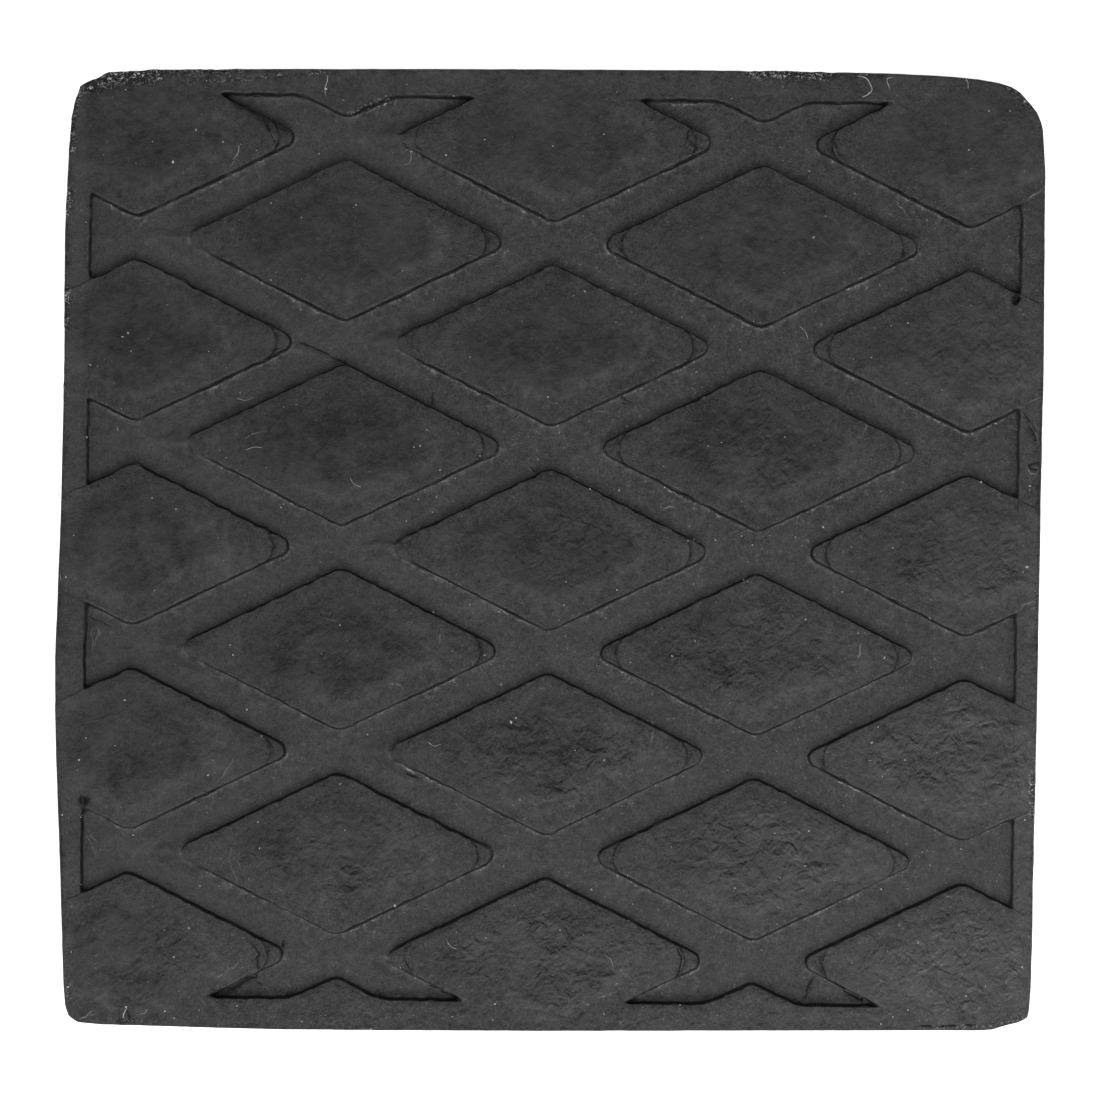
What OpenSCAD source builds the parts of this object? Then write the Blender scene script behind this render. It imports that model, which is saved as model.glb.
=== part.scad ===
// Rubber pad for the arm of a car lift: one moulded slab with a diamond tread on its upper face.
// +X runs along the diamonds' long axis, +Y to the back edge, +Z up out of the tread.
// The origin is the middle of the underside.

/* [Slab] */
// Width of the slab along X
pad_w = 150; // [125:1:190]
// Length of the slab along Y
pad_l = 147; // [122:1:185]
// Height from the underside to the faces of the diamonds
pad_h = 20; // [14:0.5:40]
// How far the side walls lean in on their way down, for draft
side_draft = 0.8; // [0.2:0.1:2]
// Height and depth of the bevel round the underside
foot_bevel = 0.8; // [0.3:0.1:2]
// Height of the upright band round the tread, above the parting line of the mould
band_h = 4; // [3.5:0.1:6]
// How far the band stands out from the side walls
band_out = 0.5; // [0.1:0.1:1.2]
// Radius of the back right corner
corner_r = 9; // [4:0.5:12]
// Radius of the front left corner
small_corner_r = 2.6; // [1:0.2:5]

/* [Groove field] */
// Width of the rim beside the grooves, left and right
side_rim = 3.7; // [2.5:0.1:8]
// Width of the rim at the ends of the grooves, front and back
end_rim = 4.4; // [3:0.1:8]
// Depth of the grooves below the diamonds' faces
groove_depth = 2.5; // [1.5:0.1:3]
// Width of a groove between two faces, square to its walls
groove_w = 5.7; // [3.5:0.1:8]
// How far a groove wall leans over its depth, for draft
wall_lean = 0.3; // [0.1:0.05:0.6]
// How far the side rims and the ends of the sharp tips lie below the faces
step_h = 0.25; // [0.1:0.05:0.8]

/* [Diamonds] */
// Distance between diamonds along X
pitch_x = 64; // [54:1:76]
// Distance between diamonds along Y
pitch_y = 31.4; // [28:0.2:38]
// Radius of a diamond's sharp tips
tip_r = 1.4; // [0.9:0.1:2]
// Radius that the face ends in at a sharp tip, inside the step
face_tip_r = 3.2; // [2.4:0.1:4]
// Radius of a diamond's blunt corners
blunt_r = 2.6; // [1.2:0.1:4]
// Radius of the low crown on each face
crown_r = 15.2; // [10:0.2:18]
// Width of the plain border between the crown and the grooves
crown_border = 2; // [1:0.1:4]
// Height of the crown above the face
crown_h = 0.2; // [0.1:0.05:0.6]
// Width of the crown's sloping edge
crown_slope = 0.9; // [0.3:0.1:2]

/* [Hidden] */

half_w = pad_w / 2;
half_l = pad_l / 2;
floor_z = pad_h - groove_depth;
band_z = pad_h - band_h;
field = [half_w - side_rim, half_l - end_rim];
// How far a groove wall moves for each millimetre of height
lean = wall_lean / groove_depth;
// What one shape is sunk into the next, so that they join with no gap
sink = 0.5;

// A face's sharp outline: its sides run along the lattice, half a groove in from each groove's middle
slope = atan2(pitch_y, pitch_x);
diamond_x = (pitch_x - groove_w / sin(slope)) / 2;
diamond_y = (pitch_y - groove_w / cos(slope)) / 2;

// The upper edge as trimmed by hand, anticlockwise from the front right corner.
// Each station is [place along the side from -1 to 1, how far it stands out from the nominal side]
right_edge = [[-0.9, -0.4], [-0.3, 0], [0.4, 0.4], [0.8, 0.2]];
back_edge = [[0.82, -0.1], [0.67, 0.3], [0.27, 0.4], [-0.27, 0], [-0.8, -0.6]];
left_edge = [[0.84, -0.5], [0.68, 0.1], [0.27, -0.2], [-0.27, 0.4], [-0.8, -1.1], [-0.92, -1.5]];
front_edge = [[-0.9, 0.2], [-0.5, 0.5], [0, 0.35], [0.4, 0], [0.67, -0.5], [0.9, -0.75]];
// The two corners cut with a knife, each point as [in along X, in along Y] from the square corner
back_left_cut = [[9, 1], [5.5, 1.5], [2.7, 2.8], [1.4, 4.6], [0.8, 7.4]];
front_right_cut = [[6, 0.95], [1.5, 2.3], [0.9, 2.9], [0.6, 4.5]];
// The two round corners start where the stations of their sides leave off
back_right = [half_w + right_edge[3][1] - corner_r, half_l + back_edge[0][1] - corner_r];
front_left = [small_corner_r - half_w - left_edge[5][1], small_corner_r - half_l - front_edge[0][1]];
arc_steps = 8;

// Points of an arc about c from angle a0 to a1
function arc(c, r, a0, a1) =
  [for (i = [0 : arc_steps]) let (a = a0 + (a1 - a0) * i / arc_steps) c + r * [cos(a), sin(a)]];

function outline() = concat(
  [for (s = right_edge) [half_w + s[1], s[0] * half_l]],
  arc(back_right, corner_r, 5, 80),
  [for (s = back_edge) [s[0] * half_w, half_l + s[1]]],
  [for (c = back_left_cut) [c[0] - half_w, half_l - c[1]]],
  [for (s = left_edge) [-half_w - s[1], s[0] * half_l]],
  arc(front_left, small_corner_r, 190, 262),
  [for (s = front_edge) [s[0] * half_w, -half_l - s[1]]],
  [for (c = front_right_cut) [half_w - c[0], c[1] - half_l]]
);

// The outline drawn in by d
function outline_in(d) = outline() * (1 - d / half_w);

// Joins rings of equally many points, each at its own height, into one closed solid
module loft(rings, heights) {
  n = len(rings[0]);
  top = len(rings) - 1;
  polyhedron(
    [for (k = [0 : top]) for (p = rings[k]) [p[0], p[1], heights[k]]],
    concat(
      [[for (i = [0 : n - 1]) i]],
      [[for (i = [n - 1 : -1 : 0]) top * n + i]],
      [for (k = [0 : top - 1]) for (i = [0 : n - 1]) let (j = (i + 1) % n)
        [k * n + i, (k + 1) * n + i, (k + 1) * n + j, k * n + j]]
    )
  );
}

// The block under the band: a bevelled foot and drafted side walls
module block() {
  foot = band_out + side_draft;
  loft([outline_in(foot + foot_bevel), outline_in(foot), outline_in(band_out)], [0, foot_bevel, band_z]);
}

// The upright band, solid to the middle before the groove field is cut into it
module band() {
  translate([0, 0, band_z]) linear_extrude(band_h) polygon(outline());
}

// The groove field, with leaning walls and a flat floor
module groove_field() {
  function ring(d) =
    let (x = field[0] + d, y = field[1] + d) [[x, -y], [x, y], [-x, y], [-x, -y]];
  loft([ring(-wall_lean), ring(sink * lean)], [floor_z, pad_h + sink]);
}

// What is cut off the side rims, which lie a step below the faces
module side_rim_cuts() {
  w = side_rim + 3 * sink;
  for (s = [-1, 1])
    translate([s * (field[0] - sink + w / 2), 0, pad_h])
      cube([w, 2 * pad_l, 2 * step_h], center = true);
}

// One diamond from below the groove floor up to its face: leaning walls and rounded corners.
// It is true to size at the face, and wider by the lean below
module raised_diamond() {
  from = floor_z - sink;
  h = pad_h - from;
  tip_x = diamond_x - tip_r / sin(slope);
  blunt_y = diamond_y - blunt_r / cos(slope);
  // The points where the sides run into the arcs of the corners
  function corners(d) =
    let (t = (tip_r + d) * [sin(slope), cos(slope)], b = (blunt_r + d) * [sin(slope), cos(slope)]) [
      [tip_x + t[0], -t[1]], [tip_x + t[0], t[1]], [b[0], blunt_y + b[1]], [-b[0], blunt_y + b[1]],
      [-tip_x - t[0], t[1]], [-tip_x - t[0], -t[1]], [-b[0], -blunt_y - b[1]], [b[0], -blunt_y - b[1]]
    ];
  loft([corners(h * lean), corners(0)], [from, pad_h]);
  for (s = [-1, 1]) {
    translate([s * tip_x, 0, from]) cylinder(h, tip_r + h * lean, tip_r, $fn = 48);
    translate([0, s * blunt_y, from]) cylinder(h, blunt_r + h * lean, blunt_r, $fn = 48);
  }
}

// What is cut off a diamond's sharp tips, so that its face ends in a wider arc and the tip in a step
module tip_cuts() {
  end_x = diamond_x - face_tip_r / sin(slope);
  // The cut starts where the arc meets the sides, and the arc is a little wide to cross them there
  start = face_tip_r * sin(slope);
  arc_r = face_tip_r + 0.1;
  length = diamond_x - end_x;
  for (s = [-1, 1])
    translate([s * end_x, 0, pad_h]) difference() {
      translate([s * (start + length) / 2, 0, 0])
        cube([length - start, 4 * face_tip_r, 2 * step_h], center = true);
      cylinder(4 * step_h, arc_r, arc_r, center = true, $fn = 64);
    }
}

module diamond() {
  difference() {
    raised_diamond();
    tip_cuts();
  }
}

// The low crown on a face: an inner diamond with its sharp ends rounded to one large circle
module crown() {
  border = crown_border / cos(slope);
  rise = crown_slope / crown_h;
  function ring(d) =
    let (y = diamond_y - border - d / cos(slope), x = y * pitch_x / pitch_y)
    [[x, 0], [0, y], [-x, 0], [0, -y]];
  intersection() {
    loft([ring(-sink * rise), ring(crown_slope)], [pad_h - sink, pad_h + crown_h]);
    translate([0, 0, pad_h - sink])
      cylinder(sink + crown_h, crown_r + sink * rise, crown_r - crown_slope, $fn = 96);
  }
}

// Puts its children at each place of the lattice whose middle is inside the given half sizes
module lattice(reach) {
  columns = 2 * ceil(half_w / pitch_x);
  rows = 2 * ceil(half_l / pitch_y);
  for (i = [-columns : columns], j = [-rows : rows]) {
    x = i * pitch_x / 2;
    y = j * pitch_y / 2;
    if ((i + j) % 2 == 0 && abs(x) < reach[0] && abs(y) < reach[1]) translate([x, y, 0]) children();
  }
}

module pad() {
  color([0.06, 0.06, 0.06]) {
    difference() {
      union() {
        block();
        band();
      }
      groove_field();
      side_rim_cuts();
    }
    // The outer diamonds run into the rims and end at the slab's edge
    intersection() {
      band();
      lattice(field + [diamond_x, diamond_y] - [1, 1]) diamond();
    }
    intersection() {
      translate([0, 0, pad_h - sink]) linear_extrude(2 * sink + crown_h) polygon(outline_in(crown_border));
      lattice(field) crown();
    }
  }
}

pad();
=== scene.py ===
import math
import random

import bmesh
import bpy
import numpy as np
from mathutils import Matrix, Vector
from mathutils.bvhtree import BVHTree
from mathutils.geometry import delaunay_2d_cdt
from mathutils.kdtree import KDTree


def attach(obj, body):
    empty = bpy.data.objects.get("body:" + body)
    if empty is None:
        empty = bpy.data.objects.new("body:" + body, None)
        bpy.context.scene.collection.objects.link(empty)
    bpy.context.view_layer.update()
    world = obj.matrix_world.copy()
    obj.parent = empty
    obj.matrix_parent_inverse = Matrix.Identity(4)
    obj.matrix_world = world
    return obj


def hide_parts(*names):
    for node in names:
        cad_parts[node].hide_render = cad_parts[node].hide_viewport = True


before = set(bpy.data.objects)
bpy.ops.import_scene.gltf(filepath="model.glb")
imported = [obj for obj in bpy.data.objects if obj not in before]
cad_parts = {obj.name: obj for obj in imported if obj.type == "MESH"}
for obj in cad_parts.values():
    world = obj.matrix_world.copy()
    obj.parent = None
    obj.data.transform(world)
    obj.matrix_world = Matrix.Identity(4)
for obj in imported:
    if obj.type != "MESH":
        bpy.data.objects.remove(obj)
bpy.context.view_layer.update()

# The pad: one slab of black rubber, pressed and cured in a steel mould.
# The mould leaves the diamond tread, the band above its parting line and a smooth underside.
# The upper edge was then trimmed by hand with a knife, which left it uneven and rough.
mm = 0.001
pad_w = 150 * mm
pad_l = 147 * mm
pad_h = 20 * mm
side_draft = 0.8 * mm
foot_bevel = 0.8 * mm
band_h = 4 * mm
band_out = 0.5 * mm
side_rim = 3.7 * mm
end_rim = 4.4 * mm
groove_depth = 2.5 * mm
groove_w = 5.7 * mm
wall_lean = 0.16 * mm
step_h = 0.25 * mm
pitch_x = 64 * mm
pitch_y = 31.4 * mm
tip_r = 1.4 * mm
face_tip_r = 3.2 * mm
blunt_r = 2.6 * mm
crown_r = 15.2 * mm
crown_border = 2 * mm
crown_h = 0.2 * mm
crown_slope = 0.9 * mm
# What wear and the mould's own edges round off, at the top and at the foot of a groove wall
edge_round = 0.1 * mm
foot_round = 0.16 * mm
# How far a face's edge has worn back from its drawn line
edge_back = 0.06 * mm
# The tread came out of the mould this much nearer the front than drawn
tread_forward = 0.2 * mm
# The tread's mesh: how far apart its points lie on the faces and along the walls
mesh_step = 0.74 * mm
wall_step = 0.8 * mm
# Places drawn over the whole slab, of which those on torn edges are kept
torn_draws = 400000

half_w = pad_w / 2
half_l = pad_l / 2
field_x = half_w - side_rim
field_y = half_l - end_rim
# The rims' inner walls as they really stand: right, back, left and front
field_right = field_x + 0.5 * mm
field_back = field_y + 0.01 * mm
field_left = field_x - 0.07 * mm
field_front = field_y + 0.45 * mm
slope = math.atan2(pitch_y, pitch_x)
slope_sin = math.sin(slope)
slope_cos = math.cos(slope)
diamond_x = (pitch_x - groove_w / slope_sin) / 2
diamond_y = (pitch_y - groove_w / slope_cos) / 2

# The trimmed upper edge: [place along the side, how far it stands out in mm], anticlockwise
right_edge = [[-0.9, -0.2], [-0.3, 0.15], [0.2, 0.3], [0.4, 0.42], [0.8, 0.25]]
back_edge = [[0.8, -0.1], [0.7, 0.15], [0.5, 0.28], [0.3, 0.25], [-0.1, 0], [-0.52, -0.4], [-0.83, -0.85]]
left_edge = [[0.84, -0.5], [0.69, 0.05], [0.59, 0.1], [0.38, -0.1], [0.08, 0.05], [-0.14, 0.5], [-0.25, 0.65]]
left_edge += [[-0.35, 0.55], [-0.46, 0.25], [-0.66, -0.45], [-0.92, -1.3]]
front_edge = [[-0.9, 0.5], [-0.74, 0.67], [-0.54, 0.82], [-0.33, 0.75], [0, 0.5], [0.4, 0.05], [0.9, -0.55]]
# The corners, cut with the knife: [in along X, in along Y] from the square corner, in mm
back_right_cut = [[0.2, 8.2], [0.5, 7], [1.15, 5.5], [2.3, 4.1], [3.7, 2.55], [5.2, 1.6], [7, 1.05]]
back_right_cut += [[10.3, 0.5]]
back_left_cut = [[8, 1.2], [6.4, 1.3], [4.8, 2.05], [3.3, 2.7], [1.9, 3.6], [1.4, 5.2], [1, 6.6], [0.7, 8.4]]
front_left_cut = [[1.42, 4.6], [1.54, 3.2], [1.72, 1.95], [2.15, 0.8], [3.5, -0.2]]
front_right_cut = [[6.1, 0.68], [4.5, 1.2], [2.15, 1.78], [0.62, 2.6], [0.42, 3.9]]


def arc(centre, radius, start, end, steps=8):
    """Points of an arc from one angle to another, in degrees."""
    angles = [math.radians(start + (end - start) * i / steps) for i in range(steps + 1)]
    return [[centre[0] + radius * math.cos(a), centre[1] + radius * math.sin(a)] for a in angles]


def trimmed_outline():
    """The corners of the slab's upper outline, anticlockwise from the front right."""
    return (
        [[half_w + out * mm, along * half_l] for along, out in right_edge]
        + [[half_w - x * mm, half_l - y * mm] for x, y in back_right_cut]
        + [[along * half_w, half_l + out * mm] for along, out in back_edge]
        + [[x * mm - half_w, half_l - y * mm] for x, y in back_left_cut]
        + [[-half_w - out * mm, along * half_l] for along, out in left_edge]
        + [[x * mm - half_w, y * mm - half_l] for x, y in front_left_cut]
        + [[along * half_w, -half_l - out * mm] for along, out in front_edge]
        + [[half_w - x * mm, y * mm - half_l] for x, y in front_right_cut]
    )


def resample(corners, step, closed=True):
    """Points along a polyline, no more than a step apart, with its corners kept."""
    points = []
    ends = corners[1:] + corners[:1] if closed else corners[1:]
    for (x0, y0), (x1, y1) in zip(corners, ends):
        count = max(1, math.ceil(math.hypot(x1 - x0, y1 - y0) / step))
        points += [(x0 + (x1 - x0) * i / count, y0 + (y1 - y0) * i / count) for i in range(count)]
    return points if closed else points + [tuple(corners[-1])]


outline = np.array(resample(trimmed_outline(), wall_step))
# A hand's cut is never as sharp as a drawing, so neighbouring points share their places a little
outline = 0.8 * outline + 0.1 * (np.roll(outline, 1, axis=0) + np.roll(outline, -1, axis=0))
along_cut = np.roll(outline, -1, axis=0) - np.roll(outline, 1, axis=0)
along_cut /= np.linalg.norm(along_cut, axis=1)[:, None]
outward = np.column_stack([along_cut[:, 1], -along_cut[:, 0]])
rim_angles = np.arctan2(outline[:, 1], outline[:, 0])
rim_order = np.argsort(rim_angles)
rim_angles = rim_angles[rim_order]
rim_radii = np.hypot(outline[:, 0], outline[:, 1])[rim_order]


def depth_inside(points):
    """About how far points lie inside the slab's outline; below zero is outside."""
    around = np.arctan2(points[:, 1], points[:, 0])
    edge = np.interp(around, rim_angles, rim_radii, period=2 * math.pi)
    square = np.maximum(np.abs(np.cos(around)), np.abs(np.sin(around)))
    return (edge - np.hypot(points[:, 0], points[:, 1])) * square


def diamond_loop(out):
    """The rounded outline of a diamond's face, moved out by so much, about its middle."""
    tip = diamond_x - tip_r / slope_sin
    blunt = diamond_y - blunt_r / slope_cos
    turn = 90 - math.degrees(slope)
    return resample(
        arc((tip, 0), tip_r + out, -turn, turn, 10)
        + arc((0, blunt), blunt_r + out, turn, 180 - turn, 6)
        + arc((-tip, 0), tip_r + out, 180 - turn, 180 + turn, 10)
        + arc((0, -blunt), blunt_r + out, 180 + turn, 360 - turn, 6),
        wall_step,
    )


def crown_loop(inset):
    """The edge of a face's crown: an inner diamond with its sharp ends cut by one circle."""
    height = diamond_y - (crown_border + inset) / slope_cos
    width = height * pitch_x / pitch_y
    corners = [(width, 0), (0, height), (-width, 0), (0, -height)]
    reach = crown_r - inset
    return [
        (x, y) if math.hypot(x, y) < reach else (x * reach / math.hypot(x, y), y * reach / math.hypot(x, y))
        for x, y in resample(corners, wall_step)
    ]


def tip_arc(side, out):
    """The line where a face steps down to its sharp tip, on the right (1) or left (-1)."""
    end_x = diamond_x - face_tip_r / slope_sin
    turn = 86 - math.degrees(slope)
    line = resample(arc((end_x, 0), face_tip_r + out, -turn, turn, 12), 0.5 * mm, False)
    return [(side * x, y) for x, y in line]


# The photograph's frame on the tread: its width, its turn and its middle
view_width = 168.71 * mm
view_turn = math.radians(0.811)
view_middle = (0.05 * mm, -0.19 * mm)


def seen_at(x, y):
    """The place on the tread under a place of the 1100 x 1100 photograph."""
    right = (x - 550) * view_width / 1100
    up = (550 - y) * view_width / 1100
    return (
        view_middle[0] + right * math.cos(view_turn) - up * math.sin(view_turn),
        view_middle[1] + right * math.sin(view_turn) + up * math.cos(view_turn),
    )


# Cracks and nicks, read off the photograph: width and depth in mm, then the line
cracks = [
    (0.3, 0.35, [(270, 122), (267, 125), (270, 131), (274, 139), (277, 144), (275, 149)]),
    (0.2, 0.14, [(421, 122), (418, 130), (416, 137)]),
    (0.3, 0.3, [(416, 144), (421, 151)]),
    (0.26, 0.3, [(691, 128), (687, 133), (689, 140), (694, 147), (693, 153)]),
    (0.22, 0.14, [(836, 131), (834, 141), (836, 148), (839, 154), (844, 156)]),
    (0.26, 0.3, [(253, 944), (260, 953), (257, 957), (257, 966), (261, 970)]),
    (0.24, 0.1, [(405, 949), (404, 959), (409, 968), (414, 976)]),
    (0.24, 0.24, [(676, 947), (680, 955), (680, 965), (678, 972), (674, 978)]),
    (0.24, 0.22, [(824, 954), (821, 962), (824, 970), (826, 978)]),
    (0.9, 0.9, [(1016, 293), (1017, 298), (1016, 305)]),
    (0.5, 0.9, [(80.6, 797.5), (80.6, 803)]),
    (0.5, 0.9, [(84, 796.5), (84, 802.5)]),
    (0.5, 0.4, [(283, 943), (281, 949)]),
    (0.34, 0.3, [(812, 980), (808, 989), (806, 996)]),
    (0.24, 0.24, [(424, 980), (430, 986), (437, 991)]),
    (0.5, 0.45, [(433, 987), (445, 993), (454, 998)]),
    (0.5, 0.6, [(830.5, 982), (848, 992.5), (864, 1002)]),
    (0.6, 0.5, [(228, 991), (243, 983), (258, 974)]),
    (0.6, 0.45, [(228, 99), (250, 111), (288, 131)]),
    (0.2, 0.2, [(431, 391), (432, 400), (431, 408)]),
    (0.22, 0.2, [(330, 355), (340, 361), (350, 365)]),
    (0.24, 0.24, [(256, 982), (261, 985)]),
    (0.3, 0.3, [(300, 342), (318, 350), (330, 355)]),
    (0.3, 0.3, [(1036, 463), (1028, 465), (1030, 469), (1037, 470)]),
    (0.24, 0.2, [(1025, 414), (1033, 425), (1036, 433)]),
    (0.24, 0.2, [(1029, 426), (1034, 434), (1037, 442)]),
    (0.3, 0.3, [(920, 1026), (931, 1026)]),
    (0.4, 0.4, [(941, 1026), (957, 1025)]),
    (0.4, 0.4, [(966, 1025), (976, 1025)]),
    (0.3, 0.3, [(127, 1011), (129, 1016), (131, 1022)]),
    (0.5, 0.4, [(823, 769), (836, 777), (847, 782)]),
    (0.2, 0.16, [(888, 655), (897, 660)]),
    (0.22, 0.06, [(88, 617), (100, 621), (112, 628)]),
    (0.24, 0.15, [(617, 396), (625, 398), (632, 401)]),
    (0.24, 0.15, [(621, 402), (628, 403)]),
    (0.2, 0.15, [(530, 466), (536, 471)]),
    (0.4, 0.3, [(408, 774), (417, 778)]),
]
# Scratches and raised lips, which look pale: width, how far they stand up, paleness and the line
scratches = [
    (0.3, 0.05, 0.8, [(239, 145), (238, 153), (234, 160), (230, 165)]),
    (0.2, 0.04, 0.9, [(271, 133), (274, 138), (277, 142)]),
    (0.3, 0.04, 0.8, [(896, 199), (900, 204), (903, 208)]),
    (0.3, 0.04, 0.7, [(900, 203), (904, 209), (907, 213)]),
    (0.3, 0.03, 0.6, [(97, 625), (98, 634), (93, 645)]),
    (0.3, 0.03, 0.5, [(90, 630), (92, 642), (89, 652)]),
    (0.35, 0.03, 0.5, [(235, 757), (228, 768), (220, 780)]),
    (0.35, 0.03, 0.5, [(321, 617), (328, 620), (336, 621)]),
    (0.4, 0.05, 0.7, [(390, 682), (397, 684), (403, 690)]),
    (0.5, 0.06, 0.9, [(405, 768), (411, 770), (416, 775)]),
    (0.3, 0.04, 0.7, [(594, 413), (600, 410), (607, 411)]),
    (0.4, 0.05, 0.9, [(664, 508), (669, 506), (674, 508)]),
    (0.25, 0.03, 0.6, [(528, 467), (533, 472)]),
    (0.4, 0.03, 0.35, [(232, 846), (229, 858), (232, 870), (238, 882)]),
    (0.4, 0.03, 0.3, [(240, 850), (238, 860), (242, 872)]),
    (0.3, 0.03, 0.5, [(85, 835), (91, 845), (94, 857)]),
    (0.3, 0.03, 0.5, [(88, 832), (95, 843)]),
    (0.3, 0.03, 0.5, [(1030, 420), (1036, 433), (1039, 447)]),
    (0.3, 0.03, 0.5, [(1034, 420), (1038, 430), (1040, 440)]),
    (0.3, 0.03, 0.5, [(1038, 424), (1040, 434)]),
    (0.3, 0.05, 0.7, [(1040, 474), (1031, 474), (1026, 468)]),
    (0.3, 0.08, 1.0, [(73, 1019), (80, 1019), (86, 1017), (92, 1010)]),
    (0.3, 0.06, 0.8, [(88, 1016), (95, 1014)]),
    (0.5, 0.05, 0.5, [(215, 977), (228, 970), (241, 962)]),
    (0.3, 0.05, 0.7, [(1044, 189), (1034, 195), (1024, 203)]),
    (0.3, 0.05, 0.6, [(1040, 397), (1030, 402), (1019, 410)]),
    (0.3, 0.05, 0.6, [(1036, 600), (1024, 606), (1016, 615)]),
    (0.3, 0.05, 0.6, [(1034, 811), (1024, 816), (1014, 820)]),
    (0.4, 0.05, 0.6, [(863, 434), (866, 428), (868, 421)]),
    (0.4, 0.05, 0.6, [(438, 648), (440, 641), (441, 632)]),
    (0.4, 0.05, 0.8, [(856, 660), (860, 653), (862, 645)]),
    (0.3, 0.05, 0.6, [(648, 745), (652, 737), (655, 729)]),
    (0.3, 0.04, 0.5, [(478, 664), (484, 672), (489, 682)]),
    (0.3, 0.04, 0.5, [(880, 655), (890, 662), (897, 666)]),
    (0.3, 0.04, 0.6, [(243, 440), (252, 434), (262, 432)]),
    (0.3, 0.04, 0.5, [(1002, 500), (998, 494), (1004, 488)]),
    (0.9, 0.02, 0.25, [(290, 99), (304, 99)]),
    (0.35, 0.04, 0.7, [(222, 92), (232, 92)]),
    (0.3, 0.05, 0.6, [(838, 782), (850, 787), (864, 795)]),
]
# Where the knife tore the rubber's edge: reach inwards in mm, strength and the line
torn_edges = [
    (1.9, 1.0, [(90, 84), (104, 78), (130, 74), (156, 73)]),
    (0.8, 0.5, [(76, 104), (80, 92), (90, 84)]),
    (1.2, 0.4, [(156, 72), (200, 71), (240, 70)]),
    (0.35, 0.5, [(180, 82), (240, 80), (290, 75), (330, 71)]),
    (1.1, 0.8, [(750, 72), (800, 75), (832, 76)]),
    (0.6, 0.4, [(832, 75), (862, 76)]),
    (0.9, 0.5, [(74, 106), (71, 150)]),
    (1.0, 0.7, [(69, 188), (67, 214)]),
    (0.9, 0.8, [(66, 288), (66, 302)]),
    (0.8, 0.6, [(66, 314), (65, 330)]),
    (0.6, 0.4, [(64, 380), (62, 396)]),
    (0.7, 0.4, [(1004, 87), (1020, 96), (1029, 106), (1036, 117)]),
    (0.8, 0.7, [(1033, 777), (1032, 815)]),
    (0.6, 0.4, [(1036, 590), (1035, 625)]),
    (0.6, 0.4, [(985, 1026), (1022, 1018)]),
    (0.5, 0.4, [(930, 1027), (985, 1026)]),
    (0.7, 0.4, [(118, 1021), (140, 1022)]),
    (0.6, 0.3, [(340, 1028), (380, 1029)]),
    (0.6, 0.4, [(68, 980), (69, 1000)]),
    (0.5, 0.5, [(348, 113), (364, 108), (378, 99), (394, 97)]),
    (0.5, 0.4, [(377, 104), (386, 101), (395, 103)]),
    (0.5, 0.35, [(672, 102), (696, 104), (720, 107)]),
    (0.4, 0.3, [(403, 140), (408, 150), (424, 158)]),
    (0.5, 0.3, [(690, 150), (704, 146), (712, 138)]),
]
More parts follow.
